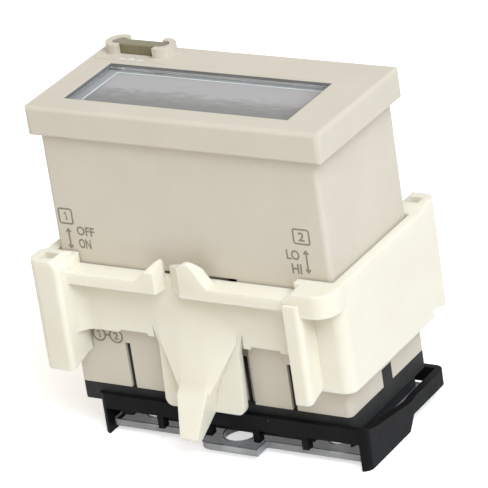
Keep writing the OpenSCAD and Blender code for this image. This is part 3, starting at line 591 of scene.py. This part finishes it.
WINDOW_FLANGE = 0.9  # mm, round the case's opening
LEFT_MARGIN = 0.8  # mm, by which the lines stand further in on the left
SEAL_FOOT = 0.9 * MM  # over the window's underside
SEAL_SUNK = 0.03 * MM  # under the bezel's front
LINE_FOOT = 0.004 * MM  # over the display glass
LINE_TOP = 0.012 * MM


def ring_bar(name, outer, inner, low, high, material):
    """A rectangular ring round Z. Its sides are given as boxes of X and Y, its ends as Z, in metres."""
    corners = [
        [(box[0], box[1]), (box[2], box[1]), (box[2], box[3]), (box[0], box[3])] for box in (outer, inner)
    ]
    work = bmesh.new()
    loops = []
    for points, z in ((corners[0], low), (corners[0], high), (corners[1], high), (corners[1], low)):
        loops.append([work.verts.new((x, y, z)) for x, y in points])
    for here, there in zip(loops, loops[1:] + loops[:1]):
        for i in range(4):
            j = (i + 1) % 4
            work.faces.new((here[i], here[j], there[j], there[i]))
    bmesh.ops.recalc_face_normals(work, faces=work.faces)
    mesh = bpy.data.meshes.new(name)
    work.to_mesh(mesh)
    work.free()
    add_piece(name, mesh, material, "counter")


def frame_window():
    """A grey liner in the gap round the pane, whose grey also paints the shade of the recess wall. On the
    display glass, a grey mask and an inner grey line paint the shade of the window's inner walls and of
    the gap at the display's edge, and a white line between them paints a highlight on the window's lower
    edge.
    """
    low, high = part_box("display_window")

    def inside(by, left=0):
        """Sides of a box that lies inside the case's opening by so many mm, and by more on the left."""
        by += WINDOW_FLANGE
        return (low.x + (by + left) * MM, low.y + by * MM, high.x - by * MM, high.y - by * MM)

    seal_low = low.z + SEAL_FOOT
    seal_high = FACE_Z - SEAL_SUNK
    # The seal is carried up the recess wall to the bezel's front, and its grey paints the wall's shade.
    ring_bar("window_seal_and_shade", inside(0.02), inside(0.085), seal_low, seal_high, SEAL_AND_SHADE_GREY)
    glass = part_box("lcd_cell")[1].z
    white = MATERIALS["knob_plastic"]
    # Painted shade and a painted highlight, as thin rings on the display glass.
    for name, outer, inner, material, slot in (
            ("painted_shade_mask", inside(-0.25), inside(0.5, LEFT_MARGIN), SEAL_AND_SHADE_GREY, "black_plastic"),
            ("painted_highlight_line", inside(0.52, LEFT_MARGIN), inside(0.66, LEFT_MARGIN), white, "knob_plastic"),
            ("painted_shade_line", inside(0.74, LEFT_MARGIN), inside(0.98, LEFT_MARGIN), SEAL_AND_SHADE_GREY, "black_plastic")):
        ring_bar(name, outer, inner, glass + LINE_FOOT, glass + LINE_TOP, material)


frame_window()


# Camera

AIM = Vector((1.730, 0, -19.880)) * MM
DISTANCE = 531.65 * MM
AZIMUTH = math.radians(33.649)
ELEVATION = math.radians(24.567)
ROLL = math.radians(-8.678)
LENS = 275.415
SENSOR = 36


def make_camera():
    data = bpy.data.cameras.new("camera")
    data.lens = LENS
    data.sensor_width = SENSOR
    data.sensor_fit = "HORIZONTAL"
    data.clip_start = 0.01
    data.clip_end = 20
    item = add_object("camera", data)
    back = Vector((
        math.sin(AZIMUTH) * math.cos(ELEVATION),
        -math.cos(AZIMUTH) * math.cos(ELEVATION),
        math.sin(ELEVATION),
    ))
    level = Vector((math.cos(AZIMUTH), math.sin(AZIMUTH), 0))
    upright = back.cross(level)
    right = level * math.cos(ROLL) + upright * math.sin(ROLL)
    up = back.cross(right)
    turn = Matrix((right, up, back)).transposed().to_4x4()
    item.matrix_world = Matrix.Translation(AIM + back * DISTANCE) @ turn
    scene.camera = item


make_camera()


# Floor and light

FLOOR_GAP = 0.02 * MM
FLOOR_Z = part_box("terminal_guard")[0].z - FLOOR_GAP
FLOOR_HALF = 1.5
FLOOR_GREY = (0.82, 0.82, 0.82, 1)
FLOOR_GLOW = 0.6
SOFT_LIGHT = (1.0, 0.87, 0.65, 1)
SOFT_STRENGTH = 0.38
LIGHT_AIM = Vector((0, 0, -0.02))


def shown_or_lit(tree, shown, lit):
    """Mixes in one shader for what the lens, metal and glass see, and another for the light given off."""
    path = add_node(tree, "LightPath", {})
    seen = path.outputs["Is Camera Ray"]
    for kind in ("Is Glossy Ray", "Is Transmission Ray"):
        seen = maths(tree, "MAXIMUM", seen, path.outputs[kind])
    return mix_shaders(tree, seen, lit, shown)


def make_floor():
    work = bmesh.new()
    bmesh.ops.create_grid(work, x_segments=8, y_segments=8, size=FLOOR_HALF)
    mesh = bpy.data.meshes.new("floor")
    work.to_mesh(mesh)
    work.free()
    item = add_object("floor", mesh)
    item.location.z = FLOOR_Z
    material = bpy.data.materials.new("floor")
    material.use_nodes = True
    tree = material.node_tree
    tree.nodes.clear()
    plain = add_node(tree, "BsdfDiffuse", {"Color": FLOOR_GREY}).outputs[0]
    glow = add_node(tree, "Emission", {"Color": WHITE, "Strength": FLOOR_GLOW}).outputs[0]
    both = add_node(tree, "AddShader", {0: plain, 1: glow}).outputs[0]
    add_node(tree, "OutputMaterial", {"Surface": shown_or_lit(tree, both, plain)})
    paint(item, material)


def make_world():
    world = bpy.data.worlds.new("studio")
    scene.world = world
    world.use_nodes = True
    tree = world.node_tree
    tree.nodes.clear()
    white = add_node(tree, "Background", {"Color": WHITE, "Strength": 1.0}).outputs[0]
    soft = add_node(tree, "Background", {"Color": SOFT_LIGHT, "Strength": SOFT_STRENGTH}).outputs[0]
    add_node(tree, "OutputWorld", {"Surface": shown_or_lit(tree, white, soft)})


def area_light(name, place, size, power, colour):
    data = bpy.data.lights.new(name, "AREA")
    data.shape = "SQUARE"
    data.size = size
    data.energy = power
    data.color = colour
    item = add_object(name, data)
    item.location = place
    item.rotation_euler = (LIGHT_AIM - Vector(place)).to_track_quat("-Z", "Y").to_euler()


make_floor()
make_world()
area_light("key", (0.551, -0.323, 0.7), size=0.7, power=11.1, colour=(0.8, 0.888, 1.0))
area_light("fill", (-0.6, -0.6, 0.3), size=0.6, power=0.7, colour=(1.0, 0.93, 0.84))
